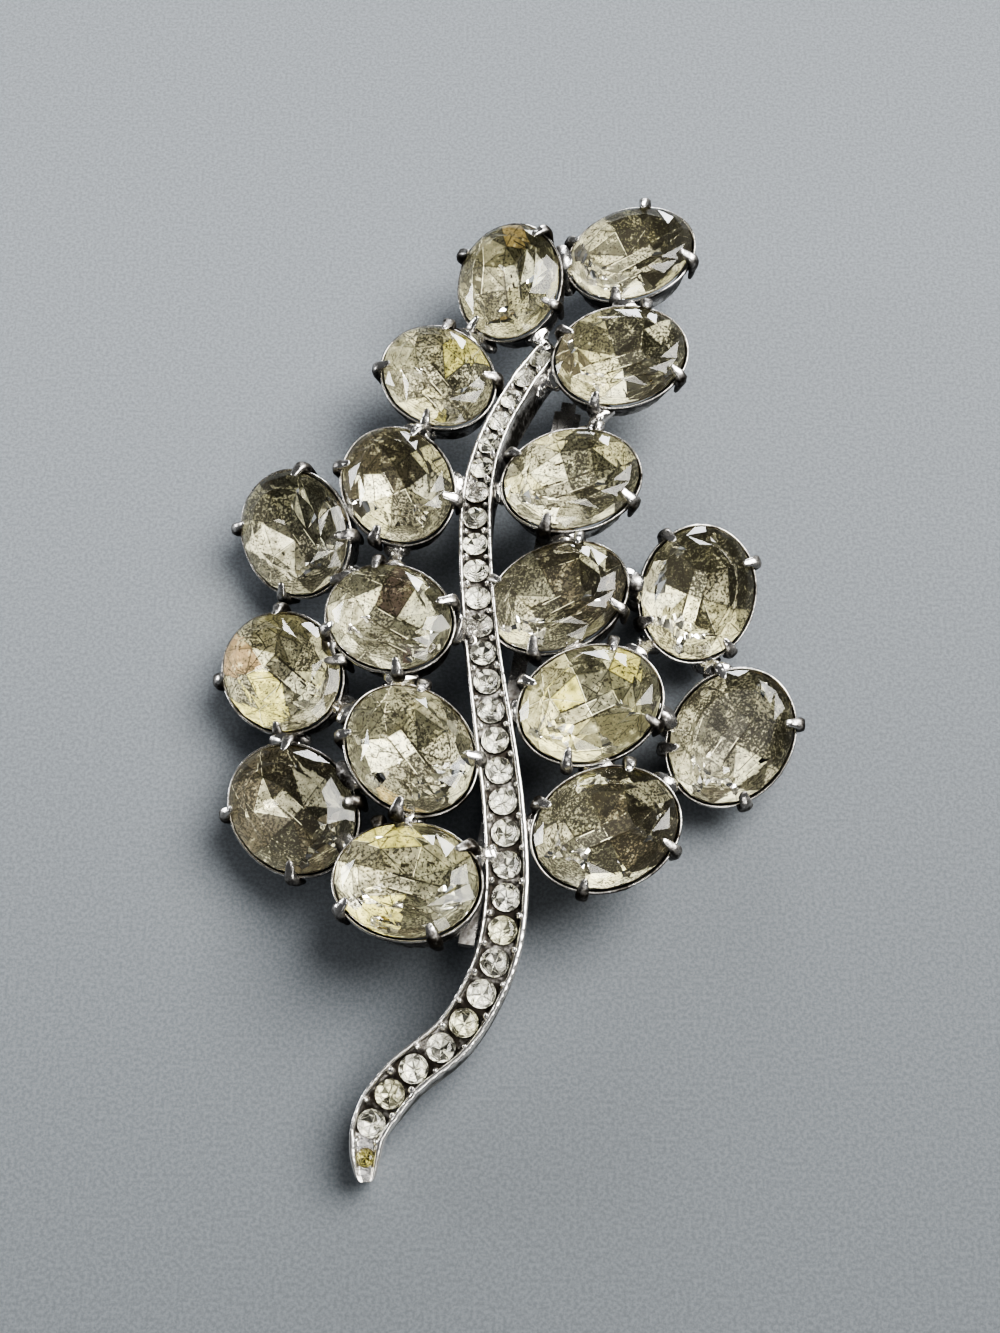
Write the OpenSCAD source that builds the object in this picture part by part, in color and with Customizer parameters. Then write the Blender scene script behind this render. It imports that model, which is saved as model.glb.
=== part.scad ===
// Leaf brooch: oval glass stones in clawed cups, soldered to a curved stem set with small round stones.
// It lies on its back. +X is right, +Y the leaf's top, +Z up, and the origin the middle of its footprint.

/* [Oval stones] */
// Length of an oval stone
stone_l = 12; // [11.6:0.1:12.2]
// Width of an oval stone
stone_w = 9.7; // [9.4:0.1:9.8]
// Height of the table above the middle of the girdle
crown_h = 1.5; // [1.2:0.1:1.8]
// Depth of the keel facet below the middle of the girdle
pavilion_h = 3.1; // [2.6:0.1:3.2]
// Thickness of the girdle
girdle_h = 0.3; // [0.2:0.05:0.4]

/* [Cups] */
// Wall of a cup
cup_wall = 0.4; // [0.35:0.05:0.5]
// Depth of a cup below its stone's girdle
cup_depth = 3.4; // [3.2:0.1:3.6]
// Share of its size that a cup keeps at its open bottom
cup_taper = 0.84; // [0.8:0.01:0.9]
// Air between a stone and its setting
stone_gap = 0.1; // [0.08:0.01:0.12]
// Angle of the claws from the stone's long axis
claw_turn = 50; // [45:1:55]
// Width of a claw at its root
claw_w = 0.9; // [0.8:0.05:1]
// How far a claw's shoulder reaches in over the cup's rim
claw_t = 0.25; // [0.2:0.05:0.3]
// How far a claw's shoulder stands out past the cup
claw_out = 0.4; // [0.3:0.05:0.4]
// How far a claw reaches in over the crown
claw_reach = 0.9; // [0.7:0.1:1.1]
// Thickness of the soldered links between cups
link_w = 1.3; // [1.1:0.1:1.4]

/* [Stem] */
// Number of round stones on the stem
stem_count = 30; // [30]
// Height of the stem from its back to its seats
stem_h = 2.8; // [2.6:0.1:3]
// Height of the stem's edges above its seats
edge_h = 0.4; // [0.3:0.05:0.5]
// Thickness of the stem's edges
edge_t = 0.25; // [0.2:0.05:0.3]
// Depth of a round stone below its girdle
round_depth = 0.9; // [0.8:0.05:1]
// Height of a round stone's table above its girdle
round_crown = 0.6; // [0.5:0.05:0.65]
// Thickness of the small beads that hold the round stones
bead_d = 0.5; // [0.4:0.05:0.55]

/* [Pin] */
// Length of the bar across the back
bar_l = 52; // [50:1:53]
// Width of the bar
bar_w = 1.3; // [1.2:0.1:1.5]
// Thickness of the bar
bar_t = 0.8; // [0.6:0.1:0.9]
// Diameter of the pin's wire
wire_d = 0.8; // [0.7:0.05:0.9]
// Distance from the bar's middle to the wire's middle, at the catch
wire_drop = 2.6; // [2.4:0.1:2.8]

/* [Hidden] */

// Columns of the table of oval stones. TURN is the long axis from +X, counter-clockwise.
// LEAN_X and LEAN_Y tip the stone's face towards +X and +Y. LIFT is its girdle over the surface.
X = 0;
Y = 1;
LIFT = 2;
TURN = 3;
LEAN_X = 4;
LEAN_Y = 5;
SHARE = 6;
stones = [
    [12.2, 43.1, 7.5, 30, -5, 0, 1],
    [0.8, 39.5, 8, 95, -20, -5, 1],
    [10.8, 30.6, 9, 20, 0, -5, 1],
    [-5.6, 29.1, 8, -55, -5, 0, 0.95],
    [-8.9, 17.1, 9, -65, -5, -5, 0.95],
    [6.2, 17.4, 9.5, 20, 0, 0, 1],
    [-18, 14, 6, -60, -25, -15, 1],
    [4.8, 5.9, 9.5, 25, -10, 0, 1],
    [17.1, 8.3, 5.5, 75, 5, -15, 1],
    [-9.3, 3.9, 9.5, -35, -10, 0, 0.95],
    [-18.5, 0.5, 6, -45, -20, -5, 1],
    [7.4, -4.1, 9.5, 25, 0, -5, 1],
    [19.3, -5.3, 5.5, 55, 0, -15, 1],
    [-7.3, -7.9, 9, -55, 0, 0, 1],
    [-17, -12, 6, -45, -15, -10, 1],
    [8.5, -14.6, 8.5, 25, 0, -5, 1],
    [-7.4, -19.2, 9, -20, -10, 5, 1]
];

// Pairs of neighbouring cups that are soldered to each other, by stone number
cup_links = [[1, 2], [1, 3], [2, 4], [3, 6], [4, 5], [5, 7], [5, 10], [6, 8], [7, 10], [8, 9], [8, 12],
             [9, 12], [9, 13], [10, 11], [10, 14], [11, 14], [11, 15], [12, 13], [12, 16], [13, 16], [14, 15],
             [14, 17], [15, 17]];

// Cups soldered to the stem: stone number, distance of the joint from the stem's top
stem_links = [[2, 0.5], [3, 4.5], [5, 16], [6, 17.5], [8, 27], [10, 31.5], [12, 38.5], [14, 42], [16, 48],
              [17, 50.5]];

// Points that the stem's middle line passes, from its top to its tail
stem_points = [[4.6, 32.4], [2.1, 28.5], [-0.5, 22.8], [-1.9, 17], [-2.1, 10.5], [-1.6, 2.5], [-0.6, -5.5],
               [0.3, -13], [0.5, -20], [-0.5, -25.5], [-3.3, -30.5], [-7.6, -34.1], [-10.1, -37.8],
               [-10.3, -42]];
// Height of the seats at the stem's middle, and how far they have sunk at the tail
stem_top = 8.9;
tail_drop = 6.2;
top_drop = 1.4;

// Distance along the stem, width of the channel
width_along = [[0, 2.5], [20, 2.8], [32, 3], [42, 3.4], [52, 3.6], [74, 3.5], [78, 2.4], [79.8, 1.4]];
// Distance along the stem, diameter of a round stone
round_along = [[0, 1.9], [35, 2.2], [45, 2.4], [75, 2.5], [78, 1.4]];
// Distance along the stem, angle of its face towards +X
bank_along = [[0, -20], [12, -20], [26, 0], [80, 0]];
// Distances of the first and last round stones
first_round = 1.6;
last_round = 78;

// Sides of a cut oval stone and its cup, and of a round stone
OVAL = 14;
ROUND = 8;
// Height of a cup's rim above the middle of the girdle, and depth of the ledge below it
rim_h = 0.2;
ledge_depth = 0.5;
// Keeps two walls from lying in one plane
hair = 0.02;
// Share of a claw's width at its tip, and thickness of its tip
claw_tip_share = 0.7;
claw_tip_t = 0.45;
// How far a link reaches into what it is soldered to
link_bite = 0.5;

// Share of the channel's width at its back, and height of the upright part of its sides
back_share = 0.8;
upright_h = 1;
// Share of a round stone's diameter between the stem's middle line and a bead
bead_share = 0.36;

// Width of the hinge block and the catch's outer and inner diameters and thickness
block = 2.4;
catch_d = 3.2;
catch_hole = 2;
catch_t = 1.4;
// Distance of the hinge and of the catch from the ends of the bar
end_gap = 2;
// Place of the bar's middle on the back, its turn from +Y, and its slope
bar_at = [1.8, 2.4, 4.7];
bar_turn = -10;
bar_slope = 0.2;

// Middle of the footprint in the frame of the tables above
middle = [0.5, 3.75, 0.146];

// Matrix of a stone's own axes
function turned(r) =
    let (a = -r[LEAN_Y], b = r[LEAN_X], t = r[TURN],
         lean_x = [[cos(b), 0, sin(b)], [0, 1, 0], [-sin(b), 0, cos(b)]],
         lean_y = [[1, 0, 0], [0, cos(a), -sin(a)], [0, sin(a), cos(a)]],
         turn = [[cos(t), -sin(t), 0], [sin(t), cos(t), 0], [0, 0, 1]])
    lean_x * lean_y * turn;
function centre(r) = [r[X], r[Y], r[LIFT]];
function row(number) = stones[number - 1];

// Point on the outside of a cup's wall towards another point, a given depth below the girdle
function wall_point(r, target, depth) =
    let (m = turned(r),
         away = target - centre(r),
         along = away * [m[0][0], m[1][0], m[2][0]],
         across = away * [m[0][1], m[1][1], m[2][1]],
         half_l = stone_l * r[SHARE] / 2 + cup_wall,
         half_w = stone_w * r[SHARE] / 2 + cup_wall,
         reach = norm([along / half_l, across / half_w]))
    centre(r) + m * [along / reach, across / reach, -depth];

// One ring of points on an oval, counter-clockwise, turned by a share of its step
function oval(l, w, z, sides, shift = 0) =
    [for (i = [0:sides - 1])
        let (a = (i + shift) * 360 / sides)
        [l / 2 * cos(a), w / 2 * sin(a), z]];
function flat(lists) = [for (list = lists, item = list) item];

// Faces between rings that are listed from the bottom up
function side_faces(sides, rings, closed = false) =
    [for (k = [0:rings - (closed ? 1 : 2)], i = [0:sides - 1], half = [0, 1])
        let (low = k * sides, high = (k + 1) % rings * sides, j = (i + 1) % sides)
        half == 0 ? [low + i, high + i, high + j] : [low + i, high + j, low + j]];
module stack(rings) {
    sides = len(rings[0]);
    count = len(rings);
    floor_face = [for (i = [0:sides - 1]) i];
    top_face = [for (i = [sides - 1:-1:0]) (count - 1) * sides + i];
    polyhedron(flat(rings), concat([floor_face], side_faces(sides, count), [top_face]), convexity = 4);
}
module closed_loop(rings) {
    polyhedron(flat(rings), side_faces(len(rings[0]), len(rings), closed = true), convexity = 8);
}
module placed(r) {
    m = turned(r);
    multmatrix([[m[0][0], m[0][1], m[0][2], r[X]],
                [m[1][0], m[1][1], m[1][2], r[Y]],
                [m[2][0], m[2][1], m[2][2], r[LIFT]]])
        children();
}

// An oval stone with a table, two rows of crown facets, a girdle, two rows of pavilion facets and a keel
// facet. "grow" makes the pocket that it sits in.
module oval_stone(share, grow = 0) {
    h = girdle_h / 2 + grow;
    // Share of the length, share of the width, height and turn in steps, from the keel up
    rows = [[0.4, 0.12, -pavilion_h - grow, 1],
            [0.72, 0.66, -0.55 * pavilion_h - grow, 0.5],
            [1, 1, -h, 0],
            [1, 1, h, 0],
            [0.87, 0.85, 0.66 * crown_h + grow, -0.5],
            [0.66, 0.62, crown_h + grow, -1]];
    stack([for (q = rows)
        oval(q[0] * (stone_l * share + 2 * grow), q[1] * (stone_w * share + 2 * grow), q[2], OVAL, q[3])]);
}

// The open cup round an oval stone, with a ledge below the girdle
module cup(share) {
    l = stone_l * share + 2 * (stone_gap + hair);
    w = stone_w * share + 2 * (stone_gap + hair);
    wall = 2 * cup_wall;
    low_l = l * cup_taper;
    low_w = w * cup_taper;
    closed_loop([oval(low_l + wall, low_w + wall, -cup_depth, OVAL),
                 oval(l + wall, w + wall, rim_h, OVAL),
                 oval(l, w, rim_h, OVAL),
                 oval(l, w, -ledge_depth, OVAL),
                 oval(l - wall, w - wall, -2 * ledge_depth, OVAL),
                 oval(low_l, low_w, -cup_depth, OVAL)]);
}

// Four claws, each with a shoulder on the cup's rim and a finger that leans in over the crown
function strip(near, far, w, z) = [[near, -w / 2, z], [far, -w / 2, z], [far, w / 2, z], [near, w / 2, z]];
module claws(share) {
    for (t = [claw_turn, 180 - claw_turn, 180 + claw_turn, -claw_turn]) {
        edge = [stone_l * share / 2 * cos(t), stone_w * share / 2 * sin(t), 0];
        outward = atan2(edge[1] / pow(stone_w, 2), edge[0] / pow(stone_l, 2));
        wall = stone_gap + cup_wall;
        translate(edge) rotate(outward) stack([
            strip(wall - claw_t, wall + claw_out, claw_w, rim_h / 2),
            strip(-claw_reach, -claw_reach + claw_tip_t, claw_tip_share * claw_w, crown_h)]);
    }
}

// A soldered link: a four-sided neck between two points
module link(a, b) {
    along = unit(b - a);
    level = unit(cross([0, 0, 1], along));
    up = cross(along, level);
    corners = [[-1, -1], [1, -1], [1, 1], [-1, 1]] * link_w / 2;
    function ring(p) = [for (q = corners) p + level * q[0] + up * q[1]];
    hull() stack([ring(a - along * link_bite), ring(b + along * link_bite)]);
}
module cup_link(pair) {
    a = row(pair[0]);
    b = row(pair[1]);
    link(wall_point(a, centre(b), link_w), wall_point(b, centre(a), link_w));
}

// The stem's middle line: a smooth curve through its points, with the height of the seats
function seat_height(y) = stem_top - (y > 0 ? top_drop * pow(y / 32, 2) : tail_drop * pow(y / 42, 2));
function smooth(p, k, t) =
    let (last = len(p) - 1,
         a = p[max(k - 1, 0)], b = p[k], c = p[min(k + 1, last)], d = p[min(k + 2, last)])
    (2 * b + (c - a) * t + (2 * a - 5 * b + 4 * c - d) * t * t + (3 * b - 3 * c + d - a) * t * t * t) / 2;
STEPS = 6;
stem_line = [for (k = [0:len(stem_points) - 2], i = [0:STEPS - 1])
                let (p = smooth(stem_points, k, i / STEPS)) [p[X], p[Y], seat_height(p[Y])]];
function lengths(line, k = 0, sum = 0) =
    k == len(line) ? [] :
    let (here = k == 0 ? 0 : sum + norm(line[k] - line[k - 1]))
    concat([here], lengths(line, k + 1, here));
stem_dist = lengths(stem_line);
stem_l = stem_dist[len(stem_dist) - 1];
function column(c) = [for (k = [0:len(stem_line) - 1]) [stem_dist[k], stem_line[k][c]]];
stem_x = column(0);
stem_y = column(1);
stem_z = column(2);
function stem_at(s) = [lookup(s, stem_x), lookup(s, stem_y), lookup(s, stem_z)];
function unit(v) = v / norm(v);

// Axes of the stem at a distance: across it to the right, along it to the tail, and out of its face
function stem_axes(s) =
    let (along = unit(stem_at(s + 0.6) - stem_at(s - 0.6)),
         level = unit(cross([0, 0, 1], along)),
         up = cross(along, level),
         bank = lookup(s, bank_along))
    [level * cos(bank) - up * sin(bank), along, up * cos(bank) + level * sin(bank)];
module on_stem(s) {
    p = stem_at(s);
    m = stem_axes(s);
    multmatrix([[m[0][0], m[1][0], m[2][0], p[0]],
                [m[0][1], m[1][1], m[2][1], p[1]],
                [m[0][2], m[1][2], m[2][2], p[2]]])
        children();
}

// The channel: a solid back with two thin raised edges, swept along the middle line. Its sections lie
// between the round stones, and one closes each end.
function channel_section(w) =
    let (half = w / 2, inner = w / 2 - edge_t)
    [[-back_share * half, -stem_h], [back_share * half, -stem_h], [half, edge_h - upright_h], [half, edge_h],
     [inner, edge_h], [inner, 0], [-inner, 0], [-inner, edge_h], [-half, edge_h], [-half, edge_h - upright_h]];
function round_place(i) = first_round + (last_round - first_round) * i / (stem_count - 1);
function between(i) = (round_place(i) + round_place(i + 1)) / 2;
module channel() {
    stations = concat([0], [for (i = [0:stem_count - 2]) between(i)], [stem_l]);
    stack([for (s = stations)
        let (p = stem_at(s), m = stem_axes(s))
        [for (q = channel_section(lookup(s, width_along))) p + m[0] * q[0] + m[2] * q[1]]]);
}

// A round stone, the seat bored for it in the channel with the room over the seat, and the two beads after it
module round_stone(d) {
    stack([oval(0.1 * d, 0.1 * d, -round_depth, ROUND),
           oval(d, d, 0.05, ROUND),
           oval(d, d, 0.2, ROUND),
           oval(0.6 * d, 0.6 * d, round_crown, ROUND)]);
}
module round_seat(d) {
    depth = round_depth + 2 * stone_gap;
    translate([0, 0, -depth]) cylinder(d1 = 0, d2 = d + 2 * stone_gap, h = depth + 3 * hair, $fn = ROUND);
    translate([0, 0, 2 * hair]) cylinder(d = d + 4 * hair, h = 2 * round_crown, $fn = ROUND);
}
module bead_pair(s) {
    half = lookup(s, round_along) * bead_share;
    sunk = 0.1;
    for (side = [-1, 1])
        on_stem(s) translate([side * half, 0, -sunk]) rotate(45)
            cylinder(d = bead_d, h = sunk + edge_h, $fn = 4);
}

module frame() color([0.66, 0.62, 0.58]) translate(-middle) difference() {
    union() {
        for (r = stones)
            placed(r) {
                cup(r[SHARE]);
                claws(r[SHARE]);
            }
        for (pair = cup_links)
            cup_link(pair);
        for (joint = stem_links) {
            side = stem_at(joint[1]) - stem_axes(joint[1])[2] * stem_h / 2;
            link(wall_point(row(joint[0]), side, link_w), side);
        }
        channel();
        for (i = [0:stem_count - 2])
            bead_pair(between(i));
    }
    for (r = stones)
        placed(r) oval_stone(r[SHARE], stone_gap);
    for (i = [0:stem_count - 1])
        on_stem(round_place(i)) round_seat(lookup(round_place(i), round_along));
}
module stone(number) color([0.72, 0.7, 0.55]) translate(-middle)
    placed(row(number)) oval_stone(row(number)[SHARE]);
module stem_stones() color([0.86, 0.86, 0.78]) translate(-middle)
    for (i = [0:stem_count - 1])
        on_stem(round_place(i)) round_stone(lookup(round_place(i), round_along));

// The pin: a bar across the back with a hinge block, a hooked catch and the closed wire between them
module hooked_catch() {
    rotate([90, 0, 0]) difference() {
        cylinder(d = catch_d, h = catch_t, $fn = 28);
        translate([0, 0, -1]) cylinder(d = catch_hole, h = catch_t + 2, $fn = 28);
        translate([0, 0, -1]) cube([catch_d, catch_hole / 2, catch_t + 2]);
    }
}
module pin_back() color([0.55, 0.53, 0.5]) translate(bar_at - middle) rotate([bar_slope, 0, bar_turn]) {
    hinge_y = bar_l / 2 - end_gap;
    catch_y = end_gap - bar_l / 2;
    foot_y = catch_y + 1 - catch_t;
    post = 1;
    translate([-bar_w / 2, -bar_l / 2, -bar_t / 2]) cube([bar_w, bar_l, bar_t]);
    translate([-block / 2, hinge_y - block / 2, -wire_drop]) cube([block, block, wire_drop]);
    translate([-block / 2, hinge_y, -wire_drop]) rotate([0, 90, 0]) cylinder(d = block, h = block, $fn = 24);
    translate([0, catch_y, -wire_drop]) {
        rotate([-90, 0, 0]) cylinder(d = wire_d, h = hinge_y - catch_y, $fn = 20);
        translate([0, 1, 0]) hooked_catch();
    }
    translate([-post / 2, foot_y, catch_hole / 2 + 0.2 - wire_drop])
        cube([post, catch_t, wire_drop - catch_hole / 2 - 0.2]);
    translate([-0.3, foot_y, -wire_drop - catch_hole / 2 - 0.2]) cube([0.6, catch_t, catch_hole / 2 + 0.2]);
}

frame();
stone(1);  // stone_01
stone(2);  // stone_02
stone(3);  // stone_03
stone(4);  // stone_04
stone(5);  // stone_05
stone(6);  // stone_06
stone(7);  // stone_07
stone(8);  // stone_08
stone(9);  // stone_09
stone(10);  // stone_10
stone(11);  // stone_11
stone(12);  // stone_12
stone(13);  // stone_13
stone(14);  // stone_14
stone(15);  // stone_15
stone(16);  // stone_16
stone(17);  // stone_17
stem_stones();
pin_back();
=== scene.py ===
"""Leaf brooch: oval foiled glass stones in clawed cups, soldered along a stem set with small round stones.

Lengths are in millimetres in the tables and in metres in the meshes. The tables repeat part.scad's own.
Points of the tables lie in the table frame; metal_point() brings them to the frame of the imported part.
"""

import math

import bmesh
import bpy
import numpy as np
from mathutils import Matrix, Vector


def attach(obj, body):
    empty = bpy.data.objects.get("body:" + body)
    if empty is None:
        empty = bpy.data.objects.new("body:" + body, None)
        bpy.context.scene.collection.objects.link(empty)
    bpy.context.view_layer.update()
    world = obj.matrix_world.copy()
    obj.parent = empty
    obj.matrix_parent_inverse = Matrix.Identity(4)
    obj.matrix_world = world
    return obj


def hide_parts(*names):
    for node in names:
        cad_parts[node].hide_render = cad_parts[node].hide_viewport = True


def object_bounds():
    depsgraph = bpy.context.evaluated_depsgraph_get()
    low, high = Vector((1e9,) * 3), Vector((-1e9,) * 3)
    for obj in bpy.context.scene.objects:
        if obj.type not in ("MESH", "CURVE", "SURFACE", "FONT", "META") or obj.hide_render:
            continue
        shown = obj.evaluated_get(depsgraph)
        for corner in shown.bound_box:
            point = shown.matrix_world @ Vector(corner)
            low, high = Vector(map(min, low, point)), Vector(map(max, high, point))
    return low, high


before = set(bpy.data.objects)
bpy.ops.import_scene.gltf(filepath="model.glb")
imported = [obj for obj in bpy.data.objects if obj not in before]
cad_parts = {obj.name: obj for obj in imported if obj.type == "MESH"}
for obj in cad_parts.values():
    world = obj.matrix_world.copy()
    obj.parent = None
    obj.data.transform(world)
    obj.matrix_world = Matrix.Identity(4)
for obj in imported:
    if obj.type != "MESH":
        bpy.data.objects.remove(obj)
cad_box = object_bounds()

MM = 0.001
# Middle of the footprint in the table frame
MIDDLE = np.array([0.5, 3.75, 0.146])

# Oval stones: name, place and height of the girdle, turn of the long axis, lean of the face to +X and +Y, and
# share of the full size
STONES = (
    ("01", (12.2, 43.1, 7.5), 30, (-5, 0), 1),
    ("02", (0.8, 39.5, 8), 95, (-20, -5), 1),
    ("03", (10.8, 30.6, 9), 20, (0, -5), 1),
    ("04", (-5.6, 29.1, 8), -55, (-5, 0), 0.95),
    ("05", (-8.9, 17.1, 9), -65, (-5, -5), 0.95),
    ("06", (6.2, 17.4, 9.5), 20, (0, 0), 1),
    ("07", (-18, 14, 6), -60, (-25, -15), 1),
    ("08", (4.8, 5.9, 9.5), 25, (-10, 0), 1),
    ("09", (17.1, 8.3, 5.5), 75, (5, -15), 1),
    ("10", (-9.3, 3.9, 9.5), -35, (-10, 0), 0.95),
    ("11", (-18.5, 0.5, 6), -45, (-20, -5), 1),
    ("12", (7.4, -4.1, 9.5), 25, (0, -5), 1),
    ("13", (19.3, -5.3, 5.5), 55, (0, -15), 1),
    ("14", (-7.3, -7.9, 9), -55, (0, 0), 1),
    ("15", (-17, -12, 6), -45, (-15, -10), 1),
    ("16", (8.5, -14.6, 8.5), 25, (0, -5), 1),
    ("17", (-7.4, -19.2, 9), -20, (-10, 5), 1),
)
# Pairs of neighbouring cups that are soldered to each other, by stone number
CUP_LINKS = (
    (1, 2), (1, 3), (2, 4), (3, 6), (4, 5), (5, 7), (5, 10), (6, 8), (7, 10), (8, 9), (8, 12), (9, 12),
    (9, 13), (10, 11), (10, 14), (11, 14), (11, 15), (12, 13), (12, 16), (13, 16), (14, 15), (14, 17),
    (15, 17),
)
# Cups soldered to the stem: stone number, distance of the joint from the stem's top
STEM_LINKS = (
    (2, 0.5), (3, 4.5), (5, 16), (6, 17.5), (8, 27), (10, 31.5), (12, 38.5), (14, 42), (16, 48), (17, 50.5),
)
# Points that the stem's middle line passes, from its top to its tail, and steps between two of them
STEM_POINTS = np.array([
    (4.6, 32.4), (2.1, 28.5), (-0.5, 22.8), (-1.9, 17), (-2.1, 10.5), (-1.6, 2.5), (-0.6, -5.5), (0.3, -13),
    (0.5, -20), (-0.5, -25.5), (-3.3, -30.5), (-7.6, -34.1), (-10.1, -37.8), (-10.3, -42),
])
LINE_STEPS = 24

# Length and width of an oval stone, its height over and under the girdle's middle, and the girdle's thickness
STONE_L = 12
STONE_W = 9.7
CROWN_H = 1.5
PAVILION_H = 3.1
GIRDLE_H = 0.3
# The keel strip's share of a stone's length and width, and the foil's depth short of the stone's
KEEL_L = 0.4
KEEL_W = 0.14
FOIL_GAP = 0.06

# Wall of a cup, and angle of its claws from the stone's long axis
CUP_WALL = 0.4
CLAW_TURN = 50
# Thickness of the soldered links, and their depth below the girdles
LINK_W = 1.3
LINK_DEPTH = 1.05

# Height of the stem from its back to its seats, and thickness of its edges
STEM_H = 2.8
EDGE_T = 0.25
# Height of the seats at the stem's middle, and how far they sink at a distance to the top and to the tail
STEM_TOP = 8.9
TOP_DROP = 1.4
TOP_REACH = 32
TAIL_DROP = 6.2
TAIL_REACH = 42
# Length of the stem's rounded ends, and half the stretch over which its direction is taken
STEM_END = 0.6
HALF_STRETCH = 0.6
# Number of round stones, and the distances of the first and last from the stem's top
ROUND_COUNT = 30
FIRST_ROUND = 1.6
LAST_ROUND = 78
# A seat's radius as a share of its stone's diameter
SEAT_SHARE = 0.46
# Distances from the stem's top, with the channel's width, a round stone's diameter and the face's lean to +X
WIDTH_ALONG = ([0, 20, 32, 42, 52, 74, 78, 79.8], [2.5, 2.8, 3, 3.4, 3.6, 3.5, 2.4, 1.4])
ROUND_ALONG = ([0, 35, 45, 75, 78], [2.05, 2.25, 2.32, 2.36, 1.4])
BANK_ALONG = ([0, 12, 26, 80], [-20, -20, 0, 0])

# Rounding of the pin's edges, and the distance in metres at which two of its corners are one
PIN_ROUND = 0.18
SAME_CORNER = 0.000002


def metal_point(points):
    """Points of the table frame, in millimetres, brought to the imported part's frame, in metres."""
    return (np.asarray(points, float) - MIDDLE) * MM


def unit(v):
    """Vectors scaled to length one."""
    return v / np.linalg.norm(v, axis=-1, keepdims=True)


def turned(angle):
    """Matrix of a turn about Z, by an angle in radians."""
    c, s = math.cos(angle), math.sin(angle)
    return np.array([[c, -s, 0], [s, c, 0], [0, 0, 1]])


def stone_axes(turn, lean):
    """Matrix whose columns are a stone's long axis, short axis and face, turned about Z and then leaned."""
    a, b = math.radians(-lean[1]), math.radians(lean[0])
    lean_x = np.array([[math.cos(b), 0, math.sin(b)], [0, 1, 0], [-math.sin(b), 0, math.cos(b)]])
    lean_y = np.array([[1, 0, 0], [0, math.cos(a), -math.sin(a)], [0, math.sin(a), math.cos(a)]])
    return lean_x @ lean_y @ turned(math.radians(turn))


def at_stone(number, points):
    """Points in a stone's own axes, brought to the table frame."""
    _, centre, turn, lean, _ = STONES[number - 1]
    return np.asarray(points) @ stone_axes(turn, lean).T + np.array(centre)


def stone_centre(number):
    """Place of a stone's middle, at the height of its girdle."""
    return np.array(STONES[number - 1][1], float)


def half_sizes(number):
    """Half the length and half the width of an oval stone."""
    share = STONES[number - 1][4]
    return STONE_L * share / 2, STONE_W * share / 2


def wall_point(number, target, depth):
    """Point on the outside of a cup towards a target, some way below the girdle."""
    _, centre, turn, lean, _ = STONES[number - 1]
    along, across, _ = (np.asarray(target) - centre) @ stone_axes(turn, lean)
    a, b = half_sizes(number)
    reach = math.hypot(along / (a + CUP_WALL), across / (b + CUP_WALL))
    return at_stone(number, [along / reach, across / reach, -depth])


def lumps(points, size, seed, waves=9):
    """Smooth lumpiness from about -1 to 1: a mean of sine waves of one wavelength in seeded directions."""
    rng = np.random.default_rng(seed)
    directions = unit(rng.normal(size=(waves, 3))) * 2 * np.pi / size
    phases = rng.uniform(0, 2 * np.pi, waves)
    return np.sin(points @ directions.T + phases).mean(-1) * 1.7


class Sheets:
    """Grids of points gathered into one mesh, each turned to face outwards, with one value per point."""

    def __init__(self):
        self.points = []
        self.faces = []
        self.values = []
        self.count = 0

    def add(self, grid, value=0.0, wrap_rows=False):
        """A grid whose columns close on themselves. Its rows close too, or each end gets a flat cap."""
        rows, cols = grid.shape[:2]
        points = grid.reshape(-1, 3)
        i = np.arange(rows if wrap_rows else rows - 1)[:, None] * cols
        i_next = (i + cols) % (rows * cols)
        j = np.arange(cols)[None, :]
        j_next = (j + 1) % cols
        quads = np.stack([i + j, i + j_next, i_next + j_next, i_next + j], -1).reshape(-1, 4)
        a, b, c, d = (points[quads[:, k]] - points.mean(0) for k in range(4))
        outward = np.einsum("ij,ij->i", a, np.cross(b, c) + np.cross(c, d)).sum() > 0
        last = (rows - 1) * cols
        caps = [] if wrap_rows else [np.arange(cols)[::-1], np.arange(cols) + last]
        step = 1 if outward else -1
        self.faces += (quads[:, ::step] + self.count).tolist()
        self.faces += [(cap[::step] + self.count).tolist() for cap in caps]
        self.points.append(points)
        self.values.append(np.broadcast_to(value, (rows, cols)).reshape(-1))
        self.count += rows * cols

    def build(self, name):
        """One smooth object of all the grids, whose point attribute holds the values as a darkness: tarnish
        in hollows together with painted shade, dark on walls, undersides and between parts, light on tops and
        edges.

        Bumps of the skin are kept inside the part's own box.
        """
        mesh = bpy.data.meshes.new(name)
        mesh.from_pydata(metal_point(np.concatenate(self.points)).clip(*np.array(cad_box)), [], self.faces)
        mesh.polygons.foreach_set("use_smooth", np.ones(len(self.faces), bool))
        store = mesh.attributes.new("tarnish_and_painted_shade", "FLOAT", "POINT")
        store.data.foreach_set("value", np.concatenate(self.values).astype(np.float32))
        return link_object(name, mesh)


def new_object(name, data):
    """A new object of the scene, at the origin."""
    thing = bpy.data.objects.new(name, data)
    bpy.context.scene.collection.objects.link(thing)
    return thing


def link_object(name, mesh):
    """A new piece at the origin that rides on the part."""
    mesh.update()
    piece = new_object(name, mesh)
    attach(piece, "root")
    return piece


# Stem

def smooth_line(points, steps):
    """A Catmull-Rom curve through points, with the given number of steps between two of them."""
    padded = np.concatenate([points[:1], points, points[-1:]])
    a, b, c, d = (padded[k:len(points) - 1 + k, None] for k in range(4))
    t = (np.arange(steps) / steps)[None, :, None]
    curve = (2 * b + (c - a) * t + (2 * a - 5 * b + 4 * c - d) * t**2 + (3 * b - 3 * c + d - a) * t**3) / 2
    return np.concatenate([curve.reshape(-1, 2), points[-1:]])


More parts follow.
